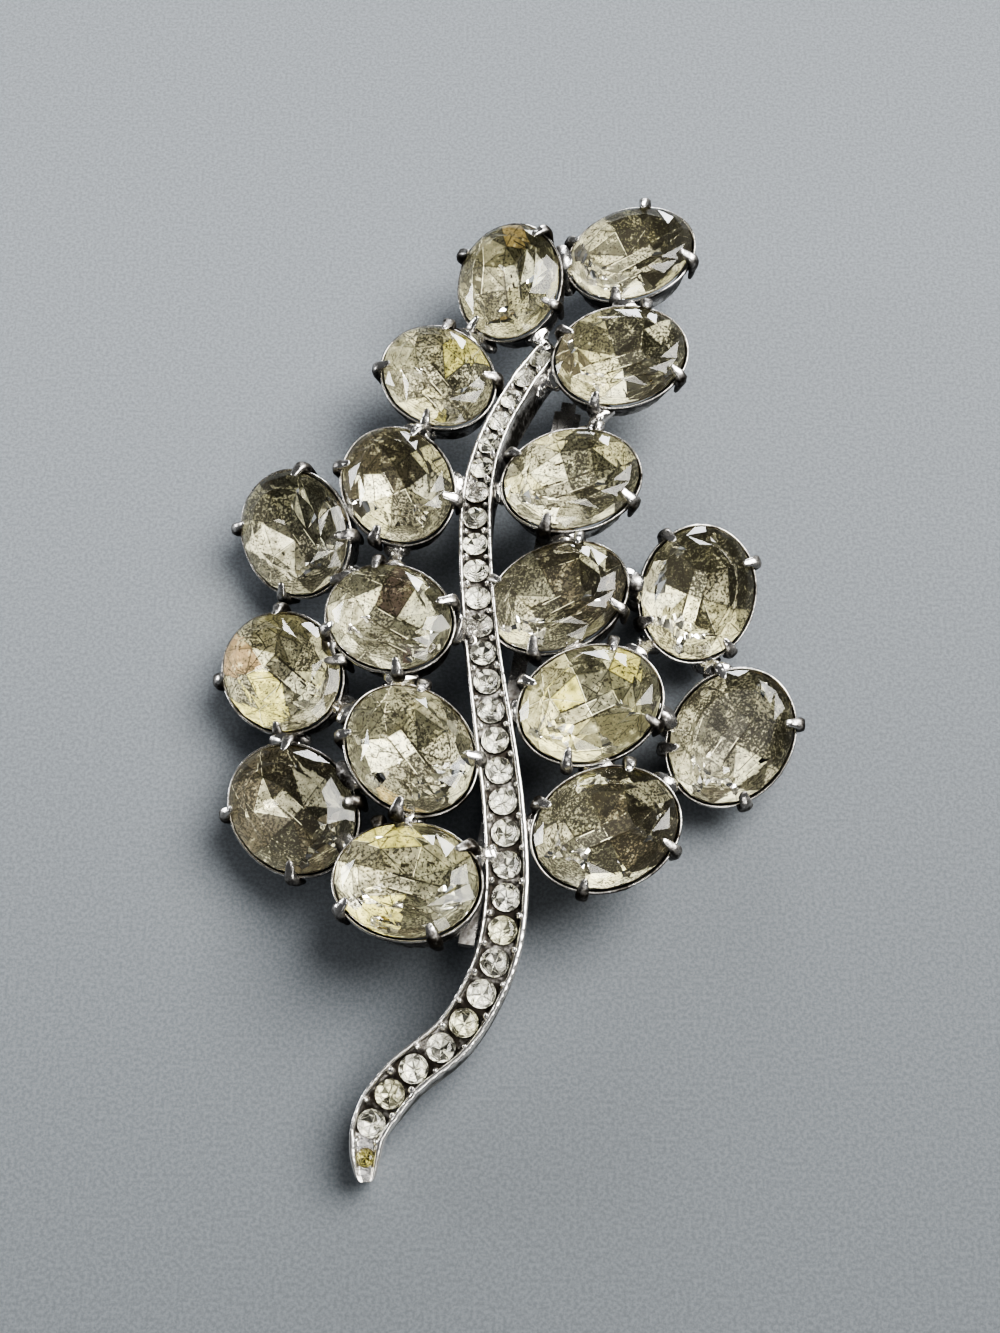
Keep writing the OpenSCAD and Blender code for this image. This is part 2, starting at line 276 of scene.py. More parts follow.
def seat_height(y):
    """Height of the stem's seats: a parabola that sinks a little to the top and deeply to the tail."""
    return STEM_TOP - np.where(y > 0, TOP_DROP * (y / TOP_REACH) ** 2, TAIL_DROP * (y / TAIL_REACH) ** 2)


# The tail is cut off at five sixths of the curve's last stretch
plan = smooth_line(STEM_POINTS, LINE_STEPS)[:-LINE_STEPS // 6]
stem_line = np.column_stack([plan, seat_height(plan[:, 1])])
stem_dist = np.concatenate([[0], np.cumsum(np.linalg.norm(np.diff(stem_line, axis=0), axis=1))])
STEM_L = stem_dist[-1]


def stem_at(s):
    """Points of the stem's middle line at distances from its top."""
    return np.stack([np.interp(s, stem_dist, stem_line[:, k]) for k in range(3)], -1)


def stem_axes(s):
    """Unit vectors at distances along the stem: across to the right, along to the tail, out of its face."""
    along = unit(stem_at(s + HALF_STRETCH) - stem_at(s - HALF_STRETCH))
    level = unit(np.cross([0, 0, 1], along))
    up = np.cross(along, level)
    bank = np.radians(np.interp(s, *BANK_ALONG))[..., None]
    return level * np.cos(bank) - up * np.sin(bank), along, up * np.cos(bank) + level * np.sin(bank)


def stem_width(s):
    """Width of the channel at distances from its top."""
    return np.interp(s, *WIDTH_ALONG)


def round_size(s):
    """Diameter of a round stone at a distance from the stem's top."""
    return np.interp(s, *ROUND_ALONG)


round_places = np.linspace(FIRST_ROUND, LAST_ROUND, ROUND_COUNT)


def stem_channel():
    """The channel: a section with a flat back, two thin rounded edges and a web with a seat for each stone.

    The section is carried along the middle line. A point of the web drops to the seat's floor where it lies
    inside a circle about a stone's place. The edges wander in height by smooth waves. To the tail the right
    one grows thicker, and at the last stone both become a bright plate round it.
    """
    tail = STEM_L - STEM_END
    last_steps = np.linspace(0.2, np.pi / 2, 8)
    s = np.concatenate([np.linspace(0, tail, 900), STEM_L - STEM_END * np.cos(last_steps)])
    across, _, up = stem_axes(s)
    centre = stem_at(s)
    # The half width shrinks on a quarter of an ellipse at the tail, and on a straight line at the top
    round_end = np.sqrt(np.clip(1 - ((s - STEM_L + STEM_END).clip(0) / 0.62) ** 2, 0, 1))
    top_end = np.where(s < STEM_END, 0.8 + 0.2 * s / STEM_END, 1)
    half = stem_width(s) / 2 * (0.35 + 0.65 * round_end) * top_end
    # Share of the half width, inset in millimetres, height and darkness of one side of the section: tarnish
    # with painted shade on the back, walls and web, lighter on the edges' tops
    edge = (
        (0, 0, -STEM_H, 0.7), (0.5, 0, -STEM_H, 0.7), (0.78, 0, -STEM_H, 0.7),
        (0.83, 0, -STEM_H + 0.15, 0.6), (0.9, 0, -1.8, 0.85), (0.98, 0, -0.8, 0.8), (1, 0, -0.3, 0.6),
        (1, 0, 0.1, 0.25), (1, 0.03, 0.28, 0), (1, 0.09, 0.38, -0.2), (1, 0.18, 0.4, -0.3),
        (1, 0.27, 0.37, -0.2), (1, 0.33, 0.27, 0), (1, 0.36, 0.02, 0.4),
    )
    web = tuple((share, 0.4 * share, -0.08, 0.9) for share in (0.93, 0.8, 0.66, 0.52, 0.38, 0.22, 0.07))
    side = edge + web
    share, inset, height, tarnish_and_painted_shade = np.array(side).T
    turn = np.r_[0:len(side), len(side) - 1:0:-1]
    sign = np.r_[np.ones(len(side)), -np.ones(len(side) - 1)]
    plate = np.interp(s, [76.2, 76.9], [0, 1])[:, None]
    thick = np.where(sign > 0, np.interp(s, [30, 50], [0.9, 1.5])[:, None], 1.05) + 0.6 * plate
    thick = np.minimum(thick, 1.2 * half[:, None])
    out = (half[:, None] * share[turn] - inset[turn] * thick).clip(0) * sign
    away = np.abs(s[:, None] - round_places)
    nearest = round_size(round_places[away.argmin(1)])[:, None]
    seat = (turn >= len(edge)) & (np.hypot(out, away.min(1)[:, None]) < SEAT_SHARE * nearest)
    lift = np.where(seat, -1, height[turn])
    lift = lift * (1 + 0.14 * lumps(centre[:, None] + sign[None, :, None] * 3, 2.2, 4) * (lift > 0.2))
    points = centre[:, None] + across[:, None] * out[..., None] + up[:, None] * lift[..., None]
    skin = 0.035 * lumps(points, 0.7, 5) * (lift > -0.5) * (1 - 0.8 * plate)
    points = points + up[:, None] * skin[..., None]
    return points, np.where(seat, 1, tarnish_and_painted_shade[turn] - plate)


def bead(s, side, size, lean):
    """A prong beside the stones: a round-headed post from the channel's floor, leaning along the stem.

    Its radius falls with the fourth power of the height, under a square root.
    """
    across, along, up = (v[0] for v in stem_axes(np.array([s])))
    place = stem_at(np.array([s]))[0] + across * side * (stem_width(s) / 2 - EDGE_T - size / 2)
    rise = np.array([0, 0.5, 0.75, 0.88, 0.96, 1])[:, None]
    turn = np.linspace(0, 2 * np.pi, 11)[None, :-1]
    radius = size / 2 * np.sqrt(1 - 0.97 * rise**4)
    points = place + across * (radius * np.cos(turn))[..., None] + along * (radius * np.sin(turn))[..., None]
    return points + (up + along * lean * rise[..., None] ** 3) * (rise * (1 + size * 0.65) - 0.95)[..., None]


# Cups, claws and soldered links

def cup_shell(number, seed):
    """A cup: a closed profile with a thin rolled rim, carried round the oval and tapered to its open back.

    Each profile point has a share of the oval's size, an offset along its normal, a height and a darkness:
    tarnish with painted shade, dark on the walls and inside, light on the rim's top. The rim's height wanders
    by three sine waves, and the outer wall has a lumpy skin.
    """
    profile = np.array([
        (1, 0.03, -0.9, 1), (1, 0.04, -0.5, 1), (1, 0.09, -0.3, 0.8), (1, 0.13, -0.2, 0.35),
        (1, 0.2, -0.15, 0.15), (1, 0.27, -0.16, 0.1), (1, 0.32, -0.22, 0.15), (1, 0.34, -0.32, 0.6),
        (1, 0.32, -0.5, 1), (0.945, 0.31, -0.9, 0.9), (0.89, 0.34, -1.4, 0.75), (0.84, 0.37, -2.2, 0.6),
        (0.815, 0.39, -3, 0.55), (0.805, 0.4, -3.33, 0.4), (0.805, 0.3, -3.4, 0.4),
        (0.805, 0.17, -3.38, 0.5), (0.805, 0.07, -3.2, 0.8), (0.83, 0.03, -2.2, 1), (0.895, -0.03, -1.5, 1),
    ])
    share, offset, height, tarnish_and_painted_shade = profile.T[:, :, None]
    t = np.linspace(0, 2 * np.pi, 97)[None, :-1]
    a, b = half_sizes(number)
    normal = unit(np.stack([b * np.cos(t), a * np.sin(t)], -1))
    flat = np.stack([share * a * np.cos(t), share * b * np.sin(t)], -1) + offset[..., None] * normal
    wave = 0.035 * np.sin(2 * t + seed) + 0.03 * np.sin(5 * t + 2 * seed) + 0.02 * np.sin(9 * t + 3 * seed)
    height = height + wave * (height > -0.7)
    points = np.concatenate([flat, np.broadcast_to(height, flat.shape[:2])[..., None]], -1)
    rough = 0.03 * lumps(points, 0.8, seed) + 0.02 * lumps(points, 0.35, seed + 50)
    points[..., :2] += normal * (rough * (offset > 0.3))[..., None]
    return at_stone(number, points), tarnish_and_painted_shade + 0.1 + 0.35 * lumps(points, 2.5, seed + 90)


def ribbon(path, widths, thicknesses, cols=14):
    """A rounded strap along a path in the plane across Y: superellipse sections, shrunk to round ends."""
    stations = np.linspace(0, 1, 22)
    given = np.linspace(0, 1, len(path))
    centre = np.stack([np.interp(stations, given, np.array(path)[:, k]) for k in range(2)], -1)
    centre[1:-1] = (centre[:-2] + 2 * centre[1:-1] + centre[2:]) / 4
    tangent = unit(np.gradient(centre, axis=0))
    end = np.sqrt(1 - np.clip(np.abs(2 * stations - 1), 0, 0.995) ** 14)
    width = np.interp(stations, given, widths) / 2 * end
    thick = np.interp(stations, given, thicknesses) / 2 * end
    t = np.linspace(0, 2 * np.pi, cols + 1)[:-1]
    cos, sin = (np.sign(f) * np.abs(f) ** 0.75 for f in (np.cos(t), np.sin(t)))
    y = width[:, None] * cos
    depth = thick[:, None] * sin
    x = centre[:, 0, None] - tangent[:, 1, None] * depth
    z = centre[:, 1, None] + tangent[:, 0, None] * depth
    return np.stack([x, y, z], -1)


def claw(number, turn, seed):
    """A claw: a strap up the cup's side, a worn knob beside the rim, and a finger bent in over the crown."""
    rng = np.random.default_rng(seed)
    a, b = half_sizes(number)
    t = math.radians(turn)
    edge = np.array([a * math.cos(t), b * math.sin(t), 0])
    facing = math.atan2(edge[1] / STONE_W**2, edge[0] / STONE_L**2)
    reach = rng.uniform(-0.15, 0.3)
    # Points of the strap outwards from the girdle and upwards, from the cup's side to the finger's tip
    path = [(0.25, -2.4), (0.4, -1.6), (0.5, -0.9), (0.6, -0.3), (0.54, 0.25), (0.3, 0.58), (-0.1, 0.8),
            (-0.38 - reach / 2, 0.98), (-0.62 - reach, 1.2)]
    widths = np.array([0.7, 0.85, 1.05, 1.2, 1.2, 1.02, 0.82, 0.7, 0.5]) * rng.uniform(0.85, 1.1)
    thicknesses = [0.4, 0.5, 0.66, 0.84, 0.86, 0.64, 0.42, 0.36, 0.28]
    strap = ribbon(path, widths, thicknesses)
    strap[..., 1] += strap[..., 2].clip(0) * rng.uniform(-0.15, 0.15)
    strap = strap + 0.03 * lumps(strap, 0.6, seed)[..., None]
    # Tarnish and painted shade low on the strap by the cup, lightening to a painted highlight on the finger
    tarnish_and_painted_shade = np.interp(strap[..., 2], [-2.4, -0.6, 0, 0.5, 1], [1, 0.95, 0.8, 0.65, 0.25])
    return at_stone(number, strap @ turned(facing).T + edge), tarnish_and_painted_shade


def neck(start, end, seed, bite=0.6):
    """A soldered link: an oval tube with a lumpy, grainy skin, which flares into what it joins at both ends.

    The flare falls off exponentially from each end, and the middle line bows up or down by half a sine wave.
    """
    rng = np.random.default_rng(seed)
    length = np.linalg.norm(end - start)
    along = (end - start) / length
    level = unit(np.cross([0, 0, 1], along))
    up = np.cross(along, level)
    u = np.linspace(-bite, length + bite, 30)[:, None]
    t = np.linspace(0, 2 * np.pi, 29)[None, :-1]
    flare = np.exp(-np.minimum(u, length - u).clip(0) / 0.45)
    wide = LINK_W / 2 * (1 + 0.9 * flare) * rng.uniform(0.9, 1.2)
    high = LINK_W / 2 * (0.8 + 0.45 * flare)
    bow = 0.12 * rng.uniform(-1, 1) * np.sin(np.pi * u / length)
    centre = start + along * u[..., None] + up * bow[..., None]
    out = level * (wide * np.cos(t))[..., None] + up * (high * np.sin(t))[..., None]
    points = centre + out
    skin = 0.13 * lumps(points, 1.1, seed) + 0.07 * lumps(points, 0.45, seed + 9)
    skin = skin + 0.03 * lumps(points, 0.22, seed + 5)
    points = points + unit(out) * skin[..., None]
    # Darker underneath and lighter on top: painted shade under the link, with lumpy tarnish
    tarnish_and_painted_shade = 0.35 - 0.3 * np.sin(t) + 0.15 * lumps(points, 0.8, seed + 2)
    return points, np.broadcast_to(tarnish_and_painted_shade, points.shape[:2])


def granule(centre, radius, seed):
    """A stray ball of solder: a sphere with a lumpy skin."""
    polar = np.linspace(0.06, np.pi - 0.06, 9)[:, None]
    t = np.linspace(0, 2 * np.pi, 13)[None, :-1]
    ball = np.stack([np.sin(polar) * np.cos(t), np.sin(polar) * np.sin(t), np.cos(polar) + 0 * t], -1)
    return centre + ball * radius * (1 + 0.12 * lumps(ball, 1.5, seed))[..., None]


def make_cups():
    """Every cup with its four claws."""
    cups, claws = Sheets(), Sheets()
    for number in range(1, len(STONES) + 1):
        cups.add(*cup_shell(number, number), wrap_rows=True)
        for k, turn in enumerate((CLAW_TURN, 180 - CLAW_TURN, 180 + CLAW_TURN, -CLAW_TURN)):
            claws.add(*claw(number, turn, 10 * number + k))
    return cups.build("cups"), claws.build("claws")


def make_links():
    """The necks between cups and from cups to the stem, each with a few granules of solder."""
    links = Sheets()
    ends = [
        (wall_point(a, stone_centre(b), LINK_DEPTH), wall_point(b, stone_centre(a), LINK_DEPTH))
        for a, b in CUP_LINKS
    ]
    for number, s in STEM_LINKS:
        here = np.array([float(s)])
        side = stem_at(here)[0] - stem_axes(here)[2][0] * STEM_H / 2
        wall = wall_point(number, side, LINK_DEPTH + 0.2)
        ends.append((wall, side + unit(wall - side) * (stem_width(s) / 2 - 0.2)))
    for k, (start, end) in enumerate(ends):
        links.add(*neck(start, end, 300 + k))
        rng = np.random.default_rng(700 + k)
        for _ in range(3):
            spot = start + (end - start) * rng.uniform(0.1, 0.9) + np.append(rng.uniform(-0.6, 0.6, 2), 0.45)
            links.add(granule(spot, rng.uniform(0.14, 0.3), k), 0.2)
    return links.build("links")


def make_stem():
    """The channel with its beads, a pair between neighbouring stones."""
    stem = Sheets()
    stem.add(*stem_channel())
    rng = np.random.default_rng(3)
    for s in (round_places[1:] + round_places[:-1]) / 2:
        for side in (-1, 1):
            stem.add(bead(s, side, rng.uniform(0.55, 0.8), rng.uniform(-0.4, 0.4)), rng.uniform(0, 0.25))
    return stem.build("stem")


def make_pin():
    """The pin's own solid with its corners merged and its edges rounded by a bevel."""
    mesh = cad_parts["pin_back"].data.copy()
    mesh.materials.clear()
    work = bmesh.new()
    work.from_mesh(mesh)
    bmesh.ops.remove_doubles(work, verts=work.verts, dist=SAME_CORNER)
    work.to_mesh(mesh)
    work.free()
    pin = link_object("pin", mesh)
    rounding = pin.modifiers.new("rounding", "BEVEL")
    rounding.width = PIN_ROUND * MM
    rounding.segments = 2
    rounding.limit_method = "ANGLE"
    rounding.angle_limit = math.radians(40)
    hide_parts("pin_back")
    return pin


# Stones and the foil behind them

def oval(count, turn, length, width, z):
    """A level ring of points on an oval, turned by a share of the step between two of them."""
    t = (np.arange(count) + turn) * 2 * np.pi / count
    return np.column_stack([length / 2 * np.cos(t), width / 2 * np.sin(t), np.full(count, z)])


def strip(low, high, low_start, high_start):
    """Flat facets between two rings, wound outwards, from each ring's number of points and its first index.

    Rings of as many points, half a step apart, are joined by triangles. A ring of twice as many points has
    its odd points in line with the other ring's points.
    """
    if low == 2 * high:
        return [tri for i in range(high) for tri in strip_pair(i, low, high, low_start, high_start)]
    if high == 2 * low:
        pairs = [tri for i in range(low) for tri in strip_pair(i, high, low, high_start, low_start)]
        return [tri[::-1] for tri in pairs]
    k = np.arange(low)
    after = (k + 1) % low
    first = np.column_stack([low_start + k, low_start + after, high_start + k])
    second = np.column_stack([high_start + k, low_start + after, high_start + after])
    return np.concatenate([first, second]).tolist()


def strip_pair(i, wide, narrow, wide_start, narrow_start):
    """The three triangles beside one point of a ring that faces a ring of twice as many points."""
    a, b, c = (wide_start + (2 * i + k) % wide for k in range(3))
    here, after = narrow_start + i, narrow_start + (i + 1) % narrow
    return [[a, b, here], [b, c, here], [here, c, after]]


def facet_solid(rings, open_top=False):
    """A cut solid from its rings, given upwards, with a flat facet below and one on top unless it is open."""
    points = np.concatenate(rings)
    starts = np.concatenate([[0], np.cumsum([len(ring) for ring in rings])])
    faces = [list(range(len(rings[0])))[::-1]]
    for k in range(len(rings) - 1):
        low, high = len(rings[k]), len(rings[k + 1])
        level = np.allclose(rings[k][:, :2], rings[k + 1][:, :2]) if low == high else False
        i = np.arange(low)
        after = (i + 1) % low
        band = np.column_stack([i, after, after + low, i + low]) + starts[k] if level else None
        faces += band.tolist() if level else strip(low, high, starts[k], starts[k + 1])
    if not open_top:
        faces.append(list(range(starts[-2], starts[-1])))
    return points, faces


def glass_solid(length, width, crown, pavilion):
    """A cut stone: keel, pavilion facets, upright girdle, steep bezel, low crown facets and table."""
    return facet_solid([
        oval(16, 0, 0.38 * length, 0.12 * width, -pavilion),
        oval(16, 0.5, 0.72 * length, 0.66 * width, -0.55 * pavilion),
        oval(32, 0, length, width, -GIRDLE_H / 2),
        oval(32, 0, length, width, GIRDLE_H / 2),
        oval(16, 0.5, 0.89 * length, 0.87 * width, 0.5 * crown),
        oval(16, 0, 0.68 * length, 0.63 * width, 0.97 * crown),
    ])


def facing_up(points, faces):
    """The same faces, each wound so that it faces upwards, as a dish's inside does."""
    def rises(face):
        a, b, c = points[face[0]], points[face[1]], points[face[2]]
        return np.cross(b - a, c - a)[2] > 0
    return [face if rises(face) else face[::-1] for face in faces]


def foil_shell(length, width, depth, seed):
    """The foil: a keel strip in two halves, slopes beside them and at the ends, and a band of girdle facets.

    The corners between the slopes and the band are slipped a little by a seed.
    """
    rng = np.random.default_rng(seed)
    k, w, rise = KEEL_L * length / 2, KEEL_W * width / 2, 0.12
    keel = np.array([(-k, -w, rise), (0, -w, 0), (k, -w, rise), (k, w, rise), (0, w, 0), (-k, w, rise)])
    keel = keel - [0, 0, depth]
    middle = oval(8, 0, 0.7 * length, 0.66 * width, -0.56 * depth)
    middle = middle + rng.uniform(-1, 1, (8, 3)) * [0.35, 0.3, 0.08]
    girdle = oval(16, -1, 0.985 * length, 0.98 * width, -0.12)
    # The middle ring's first index
    m = len(keel)
    faces = [[0, 1, 4, 5], [1, 2, 3, 4]]
    faces += [[4, 3, m + 1], [4, m + 1, m + 2], [4, m + 2, m + 3], [4, m + 3, 5]]
    faces += [[1, 2, m + 7], [1, m + 7, m + 6], [1, m + 6, m + 5], [1, m + 5, 0]]
    faces += [[2, m, 3], [3, m, m + 1], [2, m + 7, m], [5, m + 4, 0], [5, m + 3, m + 4], [0, m + 4, m + 5]]
    faces += strip(len(middle), len(girdle), m, m + len(middle))
    points = np.concatenate([keel, middle, girdle])
    return points, facing_up(points, faces)


def keel_marks(length, width, depth, seed, dashes):
    """Thin dark lines beside the keel strip with a pale painted glint along their inner edge, and dark dashes
    along the slopes.

    Each is a flat strip along the stone, given by its two ends, its place across, its width and its colour.
    """
    rng = np.random.default_rng(seed)
    a, b = length / 2, width / 2
    k, w = KEEL_L * a, KEEL_W * b
    rows = [(-k + k * i / 4, -k + k * (i + 0.9) / 4, side * w, rng.uniform(0.1, 0.2), DARK)
            for side in (-1, 1) for i in range(8) if rng.random() < 0.85]
    # A pale painted glint inside each row of dark lines
    for side in (-1, 1):
        start = rng.uniform(-0.9, 0.1) * k
        rows.append((start, start + rng.uniform(0.4, 0.9) * k, side * (w - 0.14), 0.06, PALE))
    for _ in range(dashes):
        start, side = rng.uniform(-0.55, 0.4) * a, rng.uniform(-0.45, 0.45) * b
        rows.append((start, start + rng.uniform(0.3, 0.9), side, rng.uniform(0.1, 0.2), DARK))
    left, right, side, wide, colours = zip(*rows)
    left, right, side, wide = (np.array(v)[:, None] for v in (left, right, side, wide))
    x = np.hstack([left, right, right, left])
    y = side + np.hstack([-wide, -wide, wide, wide]) / 2
    z = -depth + 0.05 + (np.abs(y) - w).clip(0) * 0.75 + 0.12 * np.abs(x) / k
    points = np.stack([x, y, z], -1).reshape(-1, 3)
    faces = np.arange(len(points)).reshape(-1, 4).tolist()
    return points, facing_up(points, faces), np.column_stack([np.array(colours), np.zeros(len(colours))])


def bordered(points, faces, paint, seed, border=0.07):
    """Each facet shrunk about its middle, with a border of thin facets round it, mostly dark lines and some
    pale painted glints.

    The shrinking is by the border over the radius of the circle that the facet holds: twice its area over its
    outline's length.
    """
    rng = np.random.default_rng(seed)
    corners, new_faces, paints, count = [], [], [], 0
    for face, colour in zip(faces, paint):
        ring = points[face]
        n = len(face)
        middle = ring.mean(0)
        area = np.linalg.norm(np.cross(ring - middle, np.roll(ring, -1, 0) - middle).sum(0)) / 2
        radius = 2 * area / np.linalg.norm(ring - np.roll(ring, -1, 0), axis=1).sum()
        inner = middle + (ring - middle) * (1 - min(border / radius, 0.4))
        corners += [ring, inner]
        k = np.arange(n)
        after = (k + 1) % n
        new_faces.append((count + n + k).tolist())
        new_faces += (count + np.column_stack([k, after, after + n, k + n])).tolist()
        # A few borders are pale painted glints, the rest darker lines of the facet's colour
        lines = np.where(rng.random((n, 1)) < 0.08, PALE, colour[:3] * rng.uniform(0.2, 0.6, (n, 1)))
        paints += [colour[None], np.column_stack([lines, np.full(n, colour[3])])]
        count += 2 * n
    return np.concatenate(corners), new_faces, np.concatenate(paints)


def open_dish(rings):
    """The facets of a cut solid without its top, faced inwards to the viewer."""
    points, faces = facet_solid(rings, open_top=True)
    return points, facing_up(points, faces)


def facet_mesh(name, solids, paints=None):
    """One mesh of flat facets from many solids in the table frame, with a colour and wear for each facet."""
    mesh = bpy.data.meshes.new(name)
    starts = np.cumsum([0] + [len(points) for points, _ in solids])
    faces = [[i + start for i in face] for (_, solid), start in zip(solids, starts) for face in solid]
    mesh.from_pydata(metal_point(np.concatenate([points for points, _ in solids])), [], faces)
    if paints is not None:
        paint = np.concatenate(paints).astype(np.float32)
        tint = mesh.attributes.new("tint", "FLOAT_COLOR", "FACE")
        tint.data.foreach_set("color", np.column_stack([paint[:, :3], np.ones(len(paint))]).ravel())
        wear = mesh.attributes.new("wear", "FLOAT", "FACE")
        wear.data.foreach_set("value", paint[:, 3].copy())
    return link_object(name, mesh)


# Foil colours
DARK = (0.035, 0.028, 0.018)
DARKEST = (0.07, 0.06, 0.042)
BROWN = (0.105, 0.09, 0.063)
OLIVE = (0.21, 0.2, 0.13)
GREY = (0.32, 0.315, 0.235)
SILVER = (0.57, 0.55, 0.42)
CREAM = (0.84, 0.8, 0.52)
PALE = (1, 0.98, 0.76)
WHITE = (1, 0.99, 0.92)
AMBER = (0.45, 0.35, 0.16)
GOLD = (0.86, 0.8, 0.31)
PEACH = (0.38, 0.27, 0.16)
VIOLET = (0.13, 0.095, 0.085)

# Foil of each stone: colour and wear of the half behind the cross line and of the half before it, number of
# dashes, and its own patches with their place along and across in half sizes, radius and colour
# The colours are partly the foil's own tint and stains and partly painted reflections, light and dark as a
# silvered mirror shows them; the pale and cream patches are painted highlights
FOILS = (
    (SILVER, 0.3, OLIVE, 0.9, 2,
     ((-0.6, -0.3, 0.3, CREAM), (-0.2, -0.6, 0.3, PALE), (0.3, -0.7, 0.3, CREAM), (0.1, 0, 0.15, SILVER))),
    (CREAM, 0.55, OLIVE, 0.35, 6,
     ((0.12, 0.1, 0.15, PALE), (0.1, -0.4, 0.2, PALE), (-0.26, -0.8, 0.25, GOLD), (0.75, -0.1, 0.2, AMBER))),
    (CREAM, 0.45, GREY, 0.85, 2,
     ((0.75, 0.3, 0.2, PALE), (-0.3, -0.7, 0.35, PALE), (-0.6, 0.4, 0.3, BROWN))),
    (SILVER, 0.5, SILVER, 0.65, 14,
     ((-0.1, 0.7, 0.35, GOLD), (-0.7, -0.2, 0.3, GREY), (0.3, -0.5, 0.4, CREAM))),
    (BROWN, 0.5, SILVER, 0.55, 2,
     ((-0.2, -0.3, 0.25, PALE), (0.25, -0.6, 0.35, CREAM), (-0.1, 0.8, 0.3, CREAM))),
    (SILVER, 0.5, GREY, 0.7, 3,
     ((-0.2, 0.3, 0.25, PALE), (0.1, -0.7, 0.25, PALE), (0, 0.85, 0.25, CREAM), (-0.8, 0.2, 0.25, CREAM),
      (0.75, 0.2, 0.2, CREAM))),
    (GREY, 0.6, SILVER, 0.6, 1,
     ((-0.35, 0.3, 0.2, PALE), (-0.1, -0.5, 0.3, SILVER), (0.5, 0.6, 0.25, BROWN))),
    (GREY, 0.75, BROWN, 0.7, 3,
     ((0.8, 0.45, 0.3, PALE), (-0.75, -0.2, 0.25, CREAM), (-0.4, 0.1, 0.2, SILVER),
      (0.2, -0.8, 0.25, OLIVE))),
    (CREAM, 0.55, GREY, 0.9, 2,
     ((-0.2, 0.6, 0.3, PALE), (-0.5, -0.7, 0.3, CREAM), (0.3, -0.3, 0.25, SILVER))),
    (GREY, 0.5, GREY, 0.55, 1,
     ((-0.5, 0.1, 0.25, PALE), (-0.3, 0.5, 0.25, VIOLET), (0.3, 0.3, 0.2, PALE), (0.4, -0.7, 0.25, PALE),
      (-0.6, -0.4, 0.25, SILVER))),
    (SILVER, 0.35, SILVER, 0.5, 2,
     ((-0.75, -0.25, 0.35, PEACH), (-0.2, -0.3, 0.25, GOLD), (0.1, -0.7, 0.35, GOLD), (0.2, 0.8, 0.3, PALE),
      (-0.5, 0.6, 0.3, OLIVE), (0.35, 0.1, 0.25, PALE))),
    (CREAM, 0.15, GREY, 0.3, 4,
     ((-0.3, 0.35, 0.25, GOLD), (0.7, 0.4, 0.25, GOLD), (-0.5, -0.7, 0.35, CREAM), (0.3, -0.6, 0.3, OLIVE))),
    (SILVER, 0.5, SILVER, 0.8, 2,
     ((-0.85, 0.1, 0.2, PALE), (-0.6, -0.6, 0.3, PALE), (0, -0.3, 0.2, PALE), (-0.7, 0.5, 0.25, SILVER))),
    (GREY, 0.5, SILVER, 0.65, 8,
     ((-0.15, -0.2, 0.25, PALE), (0.6, -0.6, 0.3, AMBER), (0.8, 0.3, 0.25, PALE), (-0.4, 0.7, 0.25, SILVER))),
    (BROWN, 0.6, GREY, 0.75, 1,
     ((-0.3, -0.2, 0.25, SILVER), (0, 0.5, 0.25, SILVER), (0.6, -0.4, 0.35, BROWN))),
    (GREY, 0.75, BROWN, 0.85, 3,
     ((-0.75, 0.1, 0.25, SILVER), (-0.4, -0.7, 0.25, CREAM), (0, -0.8, 0.2, PALE), (0.8, 0.2, 0.2, SILVER))),
    (SILVER, 0.45, GREY, 0.55, 12,
     ((-0.5, 0.6, 0.35, GOLD), (-0.3, -0.75, 0.35, GOLD), (-0.85, -0.1, 0.2, PALE), (0.5, 0.5, 0.3, SILVER))),
)
# Tones of the round stones' foil facets, among which a seed chooses: painted reflections that make some
# facets dark and some bright
ROUND_TONES = [0.04, 0.12, 0.55, 1, 1, 1]


def paint_foil(points, faces, length, width, look, seed):
    """Colour and wear of each facet: those of its half, varied by a seed, then those of the patches. The
    seeded light and dark is painted reflection, and the pale patches are painted highlights.
    """
    behind, behind_wear, before, before_wear, _, patches = look
    rng = np.random.default_rng(seed)
    middles = np.array([points[face].mean(0) for face in faces]) / [length / 2, width / 2, 1]
    first = middles[:, 0] < 0
    colour = np.where(first[:, None], behind, before) * rng.lognormal(-0.5, 0.6, (len(faces), 1))
    wear = np.where(first, behind_wear, before_wear) + rng.uniform(-0.15, 0.15, len(faces))
    for along, across, radius, patch in patches:
        inside = np.hypot(middles[:, 0] - along, middles[:, 1] - across) < radius
        colour[inside] = patch
        wear[inside] *= 0.5
    colour = np.maximum(colour / colour.max(1, keepdims=True).clip(1), DARKEST)
    return np.column_stack([colour, np.clip(wear, 0, 1)])


def make_ovals():
    """The oval stones, each in place of its solid, and one piece of all their foils."""
    stones, foils, paints = [], [], []
    for number, (name, _, _, _, share) in enumerate(STONES, 1):
        length, width = STONE_L * share, STONE_W * share
        points, faces = glass_solid(length, width, CROWN_H, PAVILION_H)
        stones.append(facet_mesh("glass_" + name, [(at_stone(number, points), faces)]))
        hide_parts("stone_" + name)
        depth = PAVILION_H - FOIL_GAP
        points, faces = foil_shell(length, width, depth, number)
        colours = paint_foil(points, faces, length, width, FOILS[number - 1], 40 + number)
        points, faces, colours = bordered(points, faces, colours, 60 + number)
        foils.append((at_stone(number, points), faces))
        paints.append(colours)
        points, faces, colours = keel_marks(length, width, depth, 80 + number, FOILS[number - 1][4])
        foils.append((at_stone(number, points), faces))
        paints.append(colours)
    return stones, facet_mesh("foils", foils, paints)


def round_tint(k):
    """Foil colour of a round stone by its index: white, pale on some before the tail, golden at the tail."""
    if k == ROUND_COUNT - 1:
        return GOLD
    return PALE if k > 19 and k % 3 == 0 else WHITE


